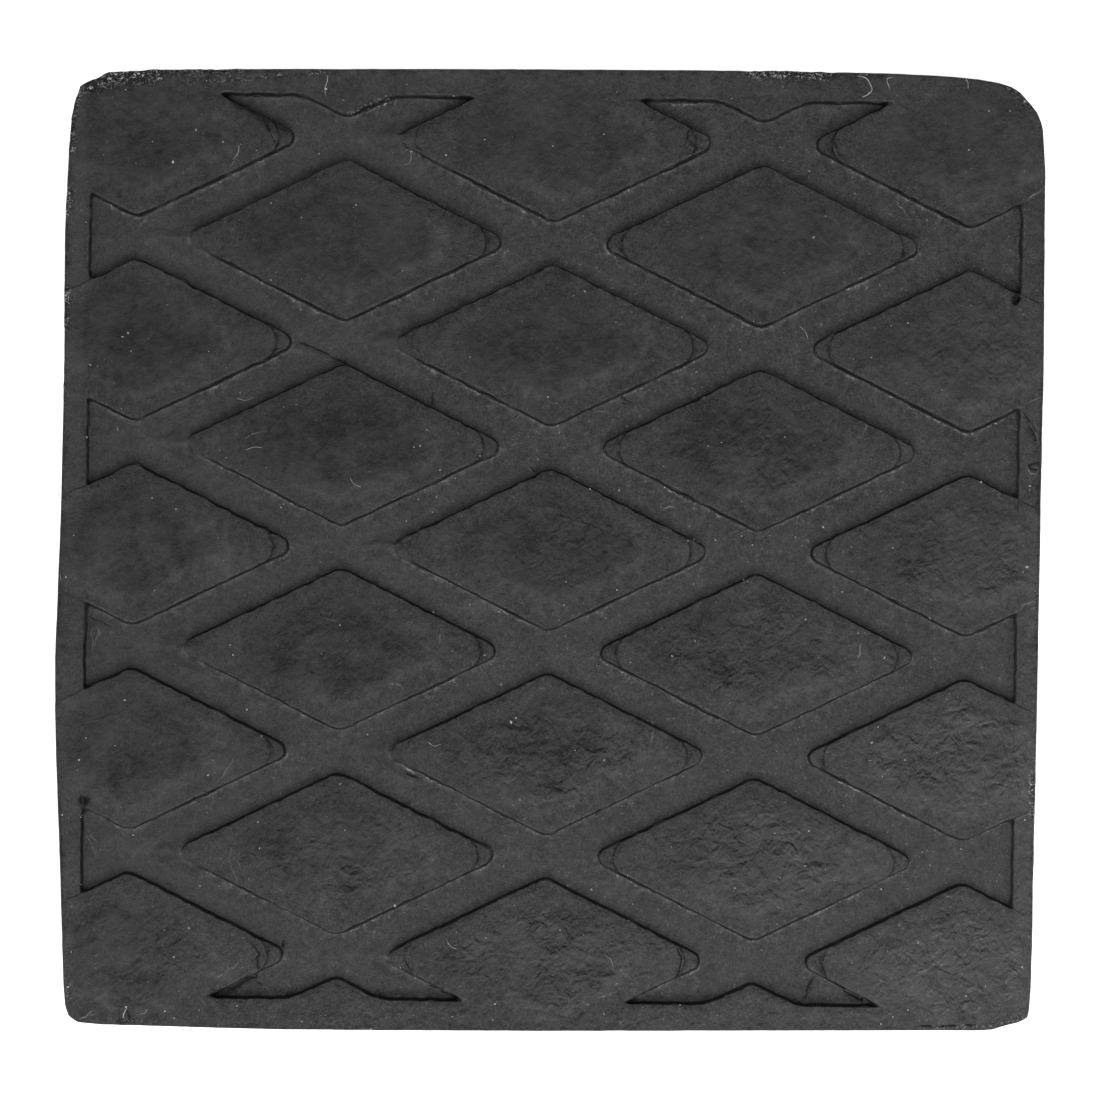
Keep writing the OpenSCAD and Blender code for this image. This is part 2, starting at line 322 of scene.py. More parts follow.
# Patches that darken or lighten the tread softly: the place, half the width and height in mm, and how much
# film the patch has lost or gained. The two darkest, at -1.9, are painted shade in pits
soft_patches = [
    (165, 156, 4.8, 3.0, -0.14), (130, 118, 5.0, 2.4, 0.06), (555, 118, 8.0, 4.0, 0.08),
    (330, 218, 5.0, 3.0, -0.02), (275, 238, 3.6, 2.6, -0.09), (154, 322, 7.0, 3.0, -0.04),
    (352, 425, 9.0, 5.0, -0.12), (726, 429, 5.4, 3.4, -0.06), (830, 438, 4.4, 3.4, -0.12),
    (572, 536, 6.5, 3.0, -0.06), (330, 616, 5.4, 3.0, -0.06), (290, 670, 5.0, 3.0, -0.11),
    (700, 672, 7.0, 3.0, -0.09), (410, 660, 3.0, 2.4, -0.08), (550, 744, 8.0, 4.0, -0.08),
    (270, 841, 3.2, 2.4, -0.07), (335, 846, 5.0, 3.0, -0.04), (800, 888, 4.0, 2.0, -0.06),
    (700, 868, 3.6, 3.0, -0.07), (545, 985, 6.5, 2.8, -0.1), (112, 968, 4.0, 2.4, -0.05),
    (560, 375, 7.0, 3.0, 0.02), (825, 273, 5.0, 2.2, -0.06), (940, 170, 7.0, 4.0, -0.06),
    (300, 268, 4.0, 2.4, -0.05), (778, 990, 3.4, 1.6, -0.12), (550, 600, 4.0, 1.0, 0.08),
    (132, 905, 2.6, 1.5, 0.15), (228, 970, 3.0, 1.5, 0.1), (440, 869, 2.2, 2.8, 0.12),
    (869, 468, 1.2, 2.2, 0.1), (864, 662, 1.1, 2.2, 0.18), (685, 552, 3.0, 2.6, 0.09),
    (474, 606, 3.6, 1.6, 0.22), (583, 620, 3.0, 1.2, 0.18), (446, 358, 2.4, 1.2, 0.1),
    (649, 759, 1.8, 2.8, 0.09), (800, 834, 4.0, 1.6, 0.1), (862, 868, 2.6, 3.0, 0.13),
    (655, 966, 2.6, 2.2, 0.1), (985, 955, 4.4, 4.0, 0.07), (480, 130, 3.0, 2.4, 0.1),
    (588, 105, 3.0, 1.8, 0.08), (858, 785, 3.0, 2.4, 0.1), (958, 370, 2.4, 4.0, 0.09),
    (930, 550, 5.0, 3.0, 0.05), (1000, 625, 3.0, 1.5, 0.08), (1026, 765, 2.0, 4.0, 0.17),
    (880, 1003, 3.0, 1.4, 0.1), (985, 1018, 6.0, 1.6, 0.08), (800, 945, 2.4, 2.0, 0.08),
    (120, 990, 3.6, 2.6, 0.06), (440, 575, 4.0, 2.0, 0.1), (227, 767, 1.5, 1.4, 0.12),
    (755, 660, 7.0, 4.0, -0.03), (930, 540, 7.0, 4.0, -0.05), (560, 560, 6.0, 3.0, -0.03),
    (975, 715, 5.0, 3.0, 0.08), (1034, 600, 1.0, 5.0, 0.2), (400, 84, 5.0, 1.5, 0.05),
    (803, 321, 3.0, 1.5, 0.08), (82.5, 801, 0.42, 0.44, -1.9), (1017, 296, 0.36, 0.8, -1.9),
    (221, 994, 1.2, 0.6, -0.8), (228, 562, 1.4, 2.2, 0.12), (215, 578, 2.0, 1.2, 0.1),
]


def patched(points):
    """How much film the soft patches add or take away at each point."""
    total = np.zeros(len(points))
    for x, y, wide, high, change in soft_patches:
        across, along = (points - np.array(seen_at(x, y))).T / mm
        total += change * np.exp(-((across / wide) ** 2) - (along / high) ** 2)
    return total


def near_lines(points, lines):
    """How strongly each point is touched by lines that fade out over their reach."""
    touched = np.zeros(len(points))
    for reach, strength, line in lines:
        places = np.array([seen_at(*p) for p in line])
        for a, b in zip(places, places[1:]):
            along = np.clip(((points - a) @ (b - a)) / ((b - a) @ (b - a)), 0, 1)
            gap = np.linalg.norm(points - a - along[:, None] * (b - a), axis=1)
            touched = np.maximum(touched, strength * np.clip(1.4 * (1 - gap / (reach * mm)), 0, 1))
    return touched


# Distances from a face's edge at which the walls' profile turns, and where the mesh has its lines
wall_lines = [-edge_round, -0.6 * edge_round, -0.2 * edge_round, 0, wall_lean]
wall_lines += [wall_lean + 0.3 * foot_round, wall_lean + 0.6 * foot_round, wall_lean + foot_round]
wall_lines = [line - edge_back for line in wall_lines]


# The flat layout of the tread, and the closed slab that carries it
def tread_layout():
    """Lines and loose points of the tread seen from above, triangulated within the trimmed edge."""
    points = []
    edges = []

    def add_line(line, closed, keep):
        kept = keep(np.array(line))
        start = len(points)
        points.extend(line)
        last = len(line) if closed else len(line) - 1
        for i in range(last):
            j = (i + 1) % len(line)
            if kept[i] and kept[j]:
                edges.append((start + i, start + j))

    inner = outline - outward * 0.4 * mm
    add_line([tuple(p) for p in inner], True, lambda p: np.ones(len(p), bool))
    rim_count = len(points)

    def in_slab(p):
        return depth_inside(p) > 0.75 * mm

    def on_slab(p):
        return depth_inside(p) > 0.5 * mm

    def in_field(p):
        return in_slab(p) & (np.abs(p[:, 1]) < field_y + 0.3 * mm)

    for column in range(-2, 3):
        for row in range(-5, 6):
            if (column + row) % 2:
                continue
            x, y = column * pitch_x / 2, row * pitch_y / 2 - tread_forward
            for out in wall_lines:
                add_line([(x + px, y + py) for px, py in diamond_loop(out)], True, in_field)
            if abs(row) == 5:
                continue
            for side in (-1, 1):
                for out in (-0.12 * mm, 0, 0.12 * mm, 0.26 * mm):
                    add_line([(x + px, y + py) for px, py in tip_arc(side, out)], False, in_slab)
            for inset in (0, crown_slope):
                add_line([(x + px, y + py) for px, py in crown_loop(inset)], True, in_slab)
    for out in wall_lines:
        right, back, left, front = field_right - out, field_back - out, out - field_left, out - field_front
        corners = [(right, front), (right, back), (left, back), (left, front)]
        add_line(resample(corners, wall_step), True, in_slab)

    # Each crack or scratch is three lines side by side; only the middle one is moved
    marked = {}
    marks = [(w, d, 0.0, line) for w, d, line in cracks] + [(w, -d, p, line) for w, d, p, line in scratches]
    for width, depth, pale, line in marks:
        middle = resample([seen_at(*p) for p in line], 0.35 * mm, False)
        ahead = np.gradient(np.array(middle), axis=0)
        ahead /= np.linalg.norm(ahead, axis=1)[:, None]
        for side in (-1, 0, 1):
            shift = np.column_stack([ahead[:, 1], -ahead[:, 0]]) * side * width / 2 * mm
            if side == 0:
                for i in range(len(middle)):
                    fade = min(1.0, 0.3 + min(i, len(middle) - 1 - i) * 0.4)
                    marked[len(points) + i] = (depth * mm * fade, pale * fade)
            add_line([tuple(p) for p in np.array(middle) + shift], False, on_slab)

    used = sorted({i for e in edges for i in e})
    taken = KDTree(len(used))
    for n, i in enumerate(used):
        taken.insert((points[i][0], points[i][1], 0), n)
    taken.balance()
    # Loose points fill the faces and grooves on a loose triangular grid
    jitter = random.Random(7)
    rows = int(2 * half_l / (mesh_step * 0.866)) + 2
    columns = int(2 * half_w / mesh_step) + 2
    loose = []
    for r in range(-rows // 2, rows // 2 + 1):
        for c in range(-columns // 2, columns // 2 + 1):
            x = (c + 0.5 * (r % 2) + jitter.uniform(-0.2, 0.2)) * mesh_step
            y = (r + jitter.uniform(-0.2, 0.2)) * mesh_step * 0.866
            loose.append((x, y))
    loose = [tuple(p) for p in np.array(loose)[depth_inside(np.array(loose)) > 0.9 * mm]]
    loose = [p for p in loose if taken.find((p[0], p[1], 0))[2] > 0.45 * mm]
    # Torn edges get points about four times as close
    fine = [(jitter.uniform(-half_w, half_w), jitter.uniform(-half_l, half_l)) for n in range(torn_draws)]
    fine = np.array(fine)
    fine = fine[on_slab(fine) & (depth_inside(fine) < 3 * mm)]
    loose += [tuple(p) for p in fine[near_lines(fine, torn_edges) > 0.15]]
    order = {i: n for n, i in enumerate(used)}
    everything = [points[i] for i in used] + loose
    verts, _, faces, sources, _, _ = delaunay_2d_cdt(
        [Vector((x / mm, y / mm)) for x, y in everything],
        [(order[a], order[b]) for a, b in edges],
        [],
        1,
        1e-4,
        True,
    )
    rim = [0] * rim_count
    cut = np.zeros(len(verts))
    pale = np.zeros(len(verts))
    for n, source in enumerate(sources):
        for s in source:
            if s < rim_count:
                rim[s] = n
            if s < len(used) and used[s] in marked:
                cut[n], pale[n] = marked[used[s]]
    return np.array([(v.x * mm, v.y * mm) for v in verts]), faces, rim, cut, pale


def slab_mesh():
    """The whole closed slab with a flat tread, and how far each point of it lies below the tread."""
    flat, faces, rim, cut, pale = tread_layout()
    places = [(x, y, pad_h) for x, y in flat]
    faces = [tuple(f) for f in faces]
    drops = [0.0] * len(places)
    on_tread = [1.0] * len(places)
    count = len(outline)
    foot = band_out + side_draft

    def add_ring(inset, z, drop=0.0, tread=0.0):
        start = len(places)
        for p, n in zip(outline, outward):
            places.append((p[0] - n[0] * inset, p[1] - n[1] * inset, z))
            drops.append(drop)
            on_tread.append(tread)
        return list(range(start, start + count))

    rings = [rim]
    for inset, drop in ((0.2, 0.03), (0.08, 0.12), (0.02, 0.26), (0, 0.45)):
        rings.append(add_ring(inset * mm, pad_h, drop * mm, 1.0))
    parting_z = pad_h - band_h
    for part in (0.65, 0.35, 0.1):
        rings.append(add_ring(0, parting_z + band_h * part))
    # The parting line: a thin flash, then the ledge down to the drafted wall
    for inset, up in ((0.02, 0.16), (-0.12, 0.08), (-0.1, 0.02), (0.3, -0.06)):
        rings.append(add_ring(inset * mm, parting_z + up * mm))
    ledge_z = parting_z - 0.2 * mm
    for part in (1, 0.88, 0.7, 0.5, 0.3, 0.15):
        z = foot_bevel + (ledge_z - foot_bevel) * part
        rings.append(add_ring(band_out + side_draft * (1 - part), z))
    for inset, z in ((0.0, 1.0), (0.12, 0.62), (0.42, 0.3), (0.8, 0.06), (1.2, 0)):
        rings.append(add_ring(foot + inset * mm, z * mm))
    for upper, lower in zip(rings, rings[1:]):
        for i in range(count):
            j = (i + 1) % count
            faces.append((upper[j], upper[i], lower[i], lower[j]))
    # The underside is closed by a coarse layout of its own
    last = rings[-1]
    under = [Vector((places[i][0] / mm, places[i][1] / mm)) for i in last]
    grid = np.array([(x * 4.0, y * 4.0) for x in range(-18, 19) for y in range(-18, 19)])
    grid = grid[depth_inside(grid * mm) > 4.5 * mm]
    under += [Vector((x, y)) for x, y in grid]
    verts, _, fills, sources, _, _ = delaunay_2d_cdt(
        under, [(i, (i + 1) % count) for i in range(count)], [], 1, 1e-4, True
    )
    names = {}
    for n, v in enumerate(verts):
        source = [s for s in sources[n] if s < count]
        if source:
            names[n] = last[source[0]]
        else:
            names[n] = len(places)
            places.append((v.x * mm, v.y * mm, 0.0))
            drops.append(0.0)
            on_tread.append(0.0)
    for f in fills:
        faces.append(tuple(names[n] for n in reversed(f)))
    mesh = bpy.data.meshes.new("rubber_pad")
    mesh.from_pydata(places, [], faces)
    for name, values in (("drop", drops), ("on_tread", on_tread)):
        mesh.attributes.new(name, "FLOAT", "POINT").data.foreach_set("value", values)
    flat_places = np.array(places)[:, :2]
    torn = near_lines(flat_places, torn_edges) * (np.array(places)[:, 2] > pad_h - 1 * mm)
    padding = np.zeros(len(places) - len(cut))
    for name, values in (
        ("inside", depth_inside(flat_places)),
        ("torn", torn),
        ("patch", patched(flat_places) * (np.array(places)[:, 2] > pad_h - 1 * mm)),
        ("cut", np.concatenate([cut, padding])),
        ("pale", np.concatenate([pale, padding])),
    ):
        mesh.attributes.new(name, "FLOAT", "POINT").data.foreach_set("value", values.astype(np.float32))
    return mesh


# The node trees: what the relief and the rubber are written with
class Field:
    """A number at a socket of a node tree, so that a tree's sums read as plain sums."""

    def __init__(self, tree, socket):
        self.tree = tree
        self.socket = socket

    def __add__(self, other):
        return number(self.tree, "ADD", self, other)

    def __sub__(self, other):
        return number(self.tree, "SUBTRACT", self, other)

    def __rsub__(self, other):
        return number(self.tree, "SUBTRACT", other, self)

    def __mul__(self, other):
        return number(self.tree, "MULTIPLY", self, other)

    def __truediv__(self, other):
        return number(self.tree, "DIVIDE", self, other)

    def __gt__(self, other):
        return number(self.tree, "GREATER_THAN", self, other)

    __radd__ = __add__
    __rmul__ = __mul__

    def size(self):
        return number(self.tree, "ABSOLUTE", self)

    def low(self, other):
        return number(self.tree, "MINIMUM", self, other)

    def high(self, other):
        return number(self.tree, "MAXIMUM", self, other)

    def root(self):
        return number(self.tree, "SQRT", self)


def plug(tree, value, socket):
    """Fills a socket with a field, with another node's output or with a plain value."""
    if isinstance(value, Field):
        tree.links.new(value.socket, socket)
    elif isinstance(value, bpy.types.NodeSocket):
        tree.links.new(value, socket)
    else:
        socket.default_value = value


def add_node(tree, kind, values=None, **settings):
    """A new node with its settings made and its inputs filled, by name or by number."""
    node = tree.nodes.new(kind)
    for name, setting in settings.items():
        setattr(node, name, setting)
    for name, value in (values or {}).items():
        plug(tree, value, node.inputs[name])
    return node


def number(tree, operation, *values):
    """One step of arithmetic."""
    node = add_node(tree, "ShaderNodeMath", dict(enumerate(values)), operation=operation)
    return Field(tree, node.outputs[0])


def hypot(a, b):
    return (a * a + b * b).root()


def ramp(value, start, end, first=0.0, last=1.0, smooth=True):
    """Goes from first to last while the value goes from start to end, and stays there."""
    course = "SMOOTHSTEP" if smooth else "LINEAR"
    ends = dict(enumerate((value, start, end, first, last)))
    node = add_node(value.tree, "ShaderNodeMapRange", ends, interpolation_type=course)
    return Field(value.tree, node.outputs[0])


def split(tree, socket):
    """The three numbers of a vector."""
    return [Field(tree, part) for part in add_node(tree, "ShaderNodeSeparateXYZ", {0: socket}).outputs]


def joined(tree, x, y, z):
    """A vector of three numbers."""
    return add_node(tree, "ShaderNodeCombineXYZ", {0: x, 1: y, 2: z}).outputs[0]


def moved(tree, place, offset):
    """A place with a fixed offset, so that two patterns don't fall together."""
    return add_node(tree, "ShaderNodeVectorMath", {0: place, 1: offset}).outputs[0]


def cloudy(tree, place, size, detail=2.0, rough=0.5, twist=0.0, offset=None):
    """Soft noise from about 0.3 to 0.7 with lumps of the given size in mm."""
    if offset is not None:
        place = moved(tree, place, offset)
    look = {"Vector": place, "Scale": 1 / (size * mm), "Detail": detail}
    look.update({"Roughness": rough, "Distortion": twist})
    return Field(tree, add_node(tree, "ShaderNodeTexNoise", look).outputs["Fac"])


def named(tree, title):
    """A number that the mesh carries at each of its points."""
    if tree.type == "GEOMETRY":
        node = add_node(tree, "GeometryNodeInputNamedAttribute", {"Name": title}, data_type="FLOAT")
        return Field(tree, node.outputs[0])
    return Field(tree, add_node(tree, "ShaderNodeAttribute", attribute_name=title).outputs["Fac"])


def new_tree(name, sizes):
    """A geometry tree with one named input for each size, and its inputs as fields."""
    tree = bpy.data.node_groups.new(name, "GeometryNodeTree")
    tree.interface.new_socket("Geometry", in_out="INPUT", socket_type="NodeSocketGeometry")
    for title, value in sizes.items():
        socket = tree.interface.new_socket(title, in_out="INPUT", socket_type="NodeSocketFloat")
        socket.default_value = value
    tree.interface.new_socket("Geometry", in_out="OUTPUT", socket_type="NodeSocketGeometry")
    start = tree.nodes.new("NodeGroupInput")
    return tree, start, {s.name: Field(tree, s) for s in start.outputs if s.name in sizes}


def end_tree(tree, shape, material):
    """Ends a tree in real geometry with its material."""
    real = add_node(tree, "GeometryNodeRealizeInstances", {0: shape})
    painted = add_node(tree, "GeometryNodeSetMaterial", {"Geometry": real.outputs[0], "Material": material})
    add_node(tree, "NodeGroupOutput", {0: painted.outputs[0]})


def grown(name, mesh, tree, sizes, material):
    """Runs a tree on a mesh and gives the result as a new object with a plain mesh."""
    source = bpy.data.objects.new(name + "_source", mesh)
    bpy.context.collection.objects.link(source)
    modifier = source.modifiers.new("tree", "NODES")
    modifier.node_group = tree
    for item in tree.interface.items_tree:
        if item.item_type == "SOCKET" and item.in_out == "INPUT" and item.name in sizes:
            modifier[item.identifier] = sizes[item.name]
    bpy.context.view_layer.update()
    graph = bpy.context.evaluated_depsgraph_get()
    result = bpy.data.meshes.new_from_object(source.evaluated_get(graph), depsgraph=graph)
    result.name = name
    source.modifiers.remove(modifier)
    bpy.data.objects.remove(source)
    if not result.materials:
        result.materials.append(material)
    piece = bpy.data.objects.new(name, result)
    bpy.context.collection.objects.link(piece)
    return piece


# The relief: the tree's named sizes, then the tree that presses it into the flat tread
relief_sizes = {
    "Pitch X": pitch_x,
    "Pitch Y": pitch_y,
    "Tread forward": tread_forward,
    "Diamond X": diamond_x,
    "Diamond Y": diamond_y,
    "Field X": field_x,
    "Field Y": field_y,
    "Field right": field_right,
    "Field back": field_back,
    "Field left": field_left,
    "Field front": field_front,
    "Groove depth": groove_depth,
    "Wall lean": wall_lean,
    "Edge back": edge_back,
    "Notch fill": 0.85 * mm,
    "Edge round": edge_round,
    "Foot round": foot_round,
    "Step height": step_h,
    "Tip radius": tip_r,
    "Face tip radius": face_tip_r,
    "Blunt radius": blunt_r,
    "Crown radius": crown_r,
    "Crown border": crown_border,
    "Crown height": crown_h,
    "Crown slope": crown_slope,
    "Wrinkle height": 0.6 * mm,
    "Waviness": 0.16 * mm,
}


def relief_tree(material):
    """Presses the diamonds, grooves, rims, crowns and wrinkles into the flat tread."""
    tree, start, size = new_tree("tread relief", relief_sizes)
    place = add_node(tree, "GeometryNodeInputPosition").outputs[0]
    x, y, z = split(tree, place)
    px, py = size["Pitch X"], size["Pitch Y"]
    side_length = hypot(px, py)
    sine, cosine = py / side_length, px / side_length

    def folded(value, pitch):
        return value - number(tree, "ROUND", value / pitch) * pitch

    # The diamonds' middles form two like grids, half a pitch apart: each place belongs to the nearer
    y_drawn = y + size["Tread forward"]
    u0, v0 = folded(x, px), folded(y_drawn, py)
    u1, v1 = folded(x - px * 0.5, px), folded(y_drawn - py * 0.5, py)
    second = (u0.size() / px + v0.size() / py) > (u1.size() / px + v1.size() / py)
    u = u0 + (u1 - u0) * second
    v = v0 + (v1 - v0) * second
    middle_x, middle_y = x - u, y - v
    u, v = u.size(), v.size()

    # How far outside its diamond's rounded outline a place lies
    straight = u * sine + v * cosine - size["Diamond X"] * sine
    tip_x = size["Diamond X"] - size["Tip radius"] / sine
    at_tip = ((u - tip_x) * cosine - v * sine) > 0.0
    blunt_y = size["Diamond Y"] - size["Blunt radius"] / cosine
    at_blunt = ((v - blunt_y) * sine - u * cosine) > 0.0
    outside = straight + (hypot(u - tip_x, v) - size["Tip radius"] - straight) * at_tip
    outside += (hypot(u, v - blunt_y) - size["Blunt radius"] - straight) * at_blunt
    to_rim = (size["Field right"] - x).low(x + size["Field left"])
    to_rim = to_rim.low(size["Field back"] - y).low(y + size["Field front"])
    # The sharp ends where a diamond meets a rim are filled a little
    fill = size["Notch fill"]
    filled = (fill - (outside - to_rim).size()).high(0.0)
    into_groove = outside.low(to_rim) + size["Edge back"] - filled * filled / (fill * 4.0)

    # The left tips in the left half were never filled well: their walls run out in a soft slope,
    # over a longer way on the side that faces the front
    left_tip = middle_x > x
    soft = u + ramp(y - middle_y, 0.8 * mm, -0.8 * mm, 0.0, 3 * mm) - size["Diamond X"]
    soft = ramp(soft, -3.6 * mm, -1.2 * mm) * ramp(x, -26 * mm, -10 * mm, 1.0, 0.0) * left_tip

    # The groove wall's profile: a rounded edge, a leaning wall and a soft foot
    rounding = ramp(into_groove, size["Edge round"] * -1.0, 0.0, smooth=False)
    wall = ramp(into_groove, 0.0, size["Wall lean"], smooth=False)
    foot = ramp(into_groove, size["Wall lean"], size["Wall lean"] + size["Foot round"], smooth=False)
    foot_h = size["Foot round"] * 0.7
    depth = size["Edge round"] * (1.0 - (1.0 - rounding * rounding).root())
    depth += wall * (size["Groove depth"] - size["Edge round"] - foot_h)
    depth += foot_h * (1.0 - (1.0 - foot) * (1.0 - foot))
    soft_depth = size["Groove depth"] * ramp(straight, -0.8 * mm, 2.7 * mm)
    depth += (soft_depth - depth) * soft
    # Painted light lifts that slope's shade, most of all where it faces the back, away from the soft box
    run_out_light = soft * ramp(straight, -0.6 * mm, 0.6 * mm) * ramp(straight, 1.8 * mm, 3.2 * mm, 1.0, 0.0)
    run_out_light *= ramp(y - middle_y, -1 * mm, 1 * mm, 0.9, 2.4)

    # The side rims and the sharp tips lie a step below the faces
    beside = (x.size() - size["Field X"]) > -0.4 * mm
    side_step = ramp(outside, 0.0, 0.2 * mm) * beside
    end_x = size["Diamond X"] - size["Face tip radius"] / sine
    past_arc = hypot(u - end_x, v) - size["Face tip radius"]
    in_tip = ((u - end_x) * cosine - v * sine) > 0.0
    inner_row = size["Field Y"] > middle_y.size()
    tip_step = ramp(past_arc, -0.02 * mm, 0.14 * mm) * in_tip * inner_row
    tip_line = (1.0 - ramp((past_arc - 0.12 * mm).size(), 0.0, 0.16 * mm)) * in_tip * inner_row
    shown = 1.0 - left_tip * ramp(x, -30 * mm, -5 * mm, 1.0, 0.0)
    level = size["Step height"] * side_step.high(tip_step * shown * 0.8) + tip_line * shown * (0.18 * mm)
    height = depth.high(level) * -1.0

    # The crown and its wrinkles
    from_edge = (straight + size["Crown border"]).high(hypot(u, v) - size["Crown radius"])
    broad = cloudy(tree, place, 12, 2.0, offset=(0.3, 0.1, 0.7)) - 0.5
    from_edge += broad * (4 * mm)
    crown = ramp(from_edge, 0.0, size["Crown slope"] * -3.0) * inner_row
    crown *= ramp(named(tree, "inside"), 0.8 * mm, 3 * mm)
    heart = crown * ramp(from_edge, -0.5 * mm, -4.5 * mm)
    # The crown's shoulder faces the front right on that side and the back left on the other: a mask for a
    # painted highlight on the one and painted shade on the other
    shoulder_light_and_shade = ramp(from_edge, 0.4 * mm, -0.6 * mm) * ramp(from_edge, -3.2 * mm, -1.2 * mm)
    shoulder_light_and_shade = shoulder_light_and_shade * ramp((x - middle_x) * 0.6 - (y - middle_y), -6 * mm, 6 * mm, -0.7, 1.0) * inner_row
    face = 1.0 - ramp(into_groove, -0.9 * mm, -0.1 * mm)
    lumps = cloudy(tree, place, 4.5, 2.0, 0.5, 0.4) - 0.5
    # The side nearer the front right corner is wrinkled more than the rest
    rougher = ramp(x * 0.6 - y, -50 * mm, 90 * mm, 0.14, 1.0) * ramp(x, -60 * mm, -20 * mm, 0.7, 1.0)
    patches = ramp(cloudy(tree, place, 7.5, 1.0, offset=(0.4, 0.6, 0.2)), 0.4, 0.6)
    crinkled = rougher * (crown * (0.34 + patches * 0.42) + face * rougher * 0.36)
    height += crown * size["Crown height"] * 0.5
    height += lumps * size["Wrinkle height"] * rougher * (crown * 0.8 + face * 0.25)
    height += broad * (0.3 * mm)
    floor = ramp(into_groove, size["Wall lean"] * 0.9, size["Wall lean"] + size["Foot round"])
    front_wall = (to_rim > outside) * (middle_y > y) + (outside > to_rim) * (y > 0.0)
    # Dust and painted light lie in the corner between floor and wall, most of it under the walls that face
    # the front, where it stands for a highlight; under the walls that face the back it lifts their shadow
    corner = floor * ramp(into_groove, size["Wall lean"] + size["Foot round"], 0.7 * mm, 1.0, 0.0)
    beside_rim = (size["Field right"] - x).low(x + size["Field left"])
    corner = corner * (0.35 + (middle_y > y) * 0.65) * ramp(beside_rim, 1 * mm, 2 * mm)
    # None of the dust lies beside the side rims; there painted shade darkens the floor instead
    corner -= floor * ramp(beside_rim, 0.3 * mm, 1.4 * mm, 0.4, 0.0)

    torn = named(tree, "torn")
    shreds = cloudy(tree, place, 0.7, 2.0, 0.6, offset=(0.9, 0.2, 0.4)) - 0.62
    height = height - named(tree, "cut") + torn * shreds * (0.7 * mm)

    # No moulded line is dead straight: all of the tread wavers a little sideways
    by_walls = ramp(named(tree, "inside"), 1 * mm, 3 * mm, 0.1 * mm, 1.1 * mm)

    def sideways(offset):
        slow = (cloudy(tree, place, 11, 2.0, 0.6, offset=offset) - 0.5) * size["Waviness"]
        quick = (cloudy(tree, place, 1.8, 2.0, offset=offset) - 0.5) * (torn * (0.6 * mm) + by_walls)
        return slow + quick

    tread = named(tree, "on_tread")
    lowered = (height - named(tree, "drop")) * tread
    offset = joined(tree, sideways((1.1, 0, 0)), sideways((0, 2.3, 0)), lowered)
    pressed = add_node(tree, "GeometryNodeSetPosition", {"Geometry": start.outputs[0], "Offset": offset})
    shape = pressed.outputs[0]
    for title, value in (
        ("crown", crown * tread),
        ("crinkled", crinkled * tread),
        ("heart", heart * tread),
        ("shoulder_light_and_shade", shoulder_light_and_shade * tread),
        ("gap", into_groove.low(3 * mm).high(-3 * mm) * tread - (1.0 - tread) * (3 * mm)),
        ("front_wall", front_wall),
        ("run_out_light", run_out_light * tread),
        ("face", (1.0 - ramp(into_groove, -0.1 * mm, 0.1 * mm)) * tread),
        ("corner", corner * tread),
        ("soft", soft * tread),
        ("seam_shade", tip_line * shown * tread),
    ):
        kept = {"Geometry": shape, "Name": title, "Value": value}
        store = add_node(tree, "GeometryNodeStoreNamedAttribute", kept, data_type="FLOAT", domain="POINT")
        shape = store.outputs[0]
    end_tree(tree, shape, material)
    return tree


# The rubber's finish
def mixed(tree, share, first, second):
    """A colour between two colours."""
    ends = {"Factor": share, "A": first, "B": second}
    return add_node(tree, "ShaderNodeMix", ends, data_type="RGBA").outputs["Result"]


def bumped(tree, height, depth, under=None):
    """A surface normal raised by a height field of so many mm, on top of another bump."""
    ends = {"Height": height, "Distance": depth * mm}
    if under is not None:
        ends["Normal"] = under
    return add_node(tree, "ShaderNodeBump", ends).outputs[0]


def grey(tone, blue=1.0):
    return (tone, tone, tone * blue, 1)


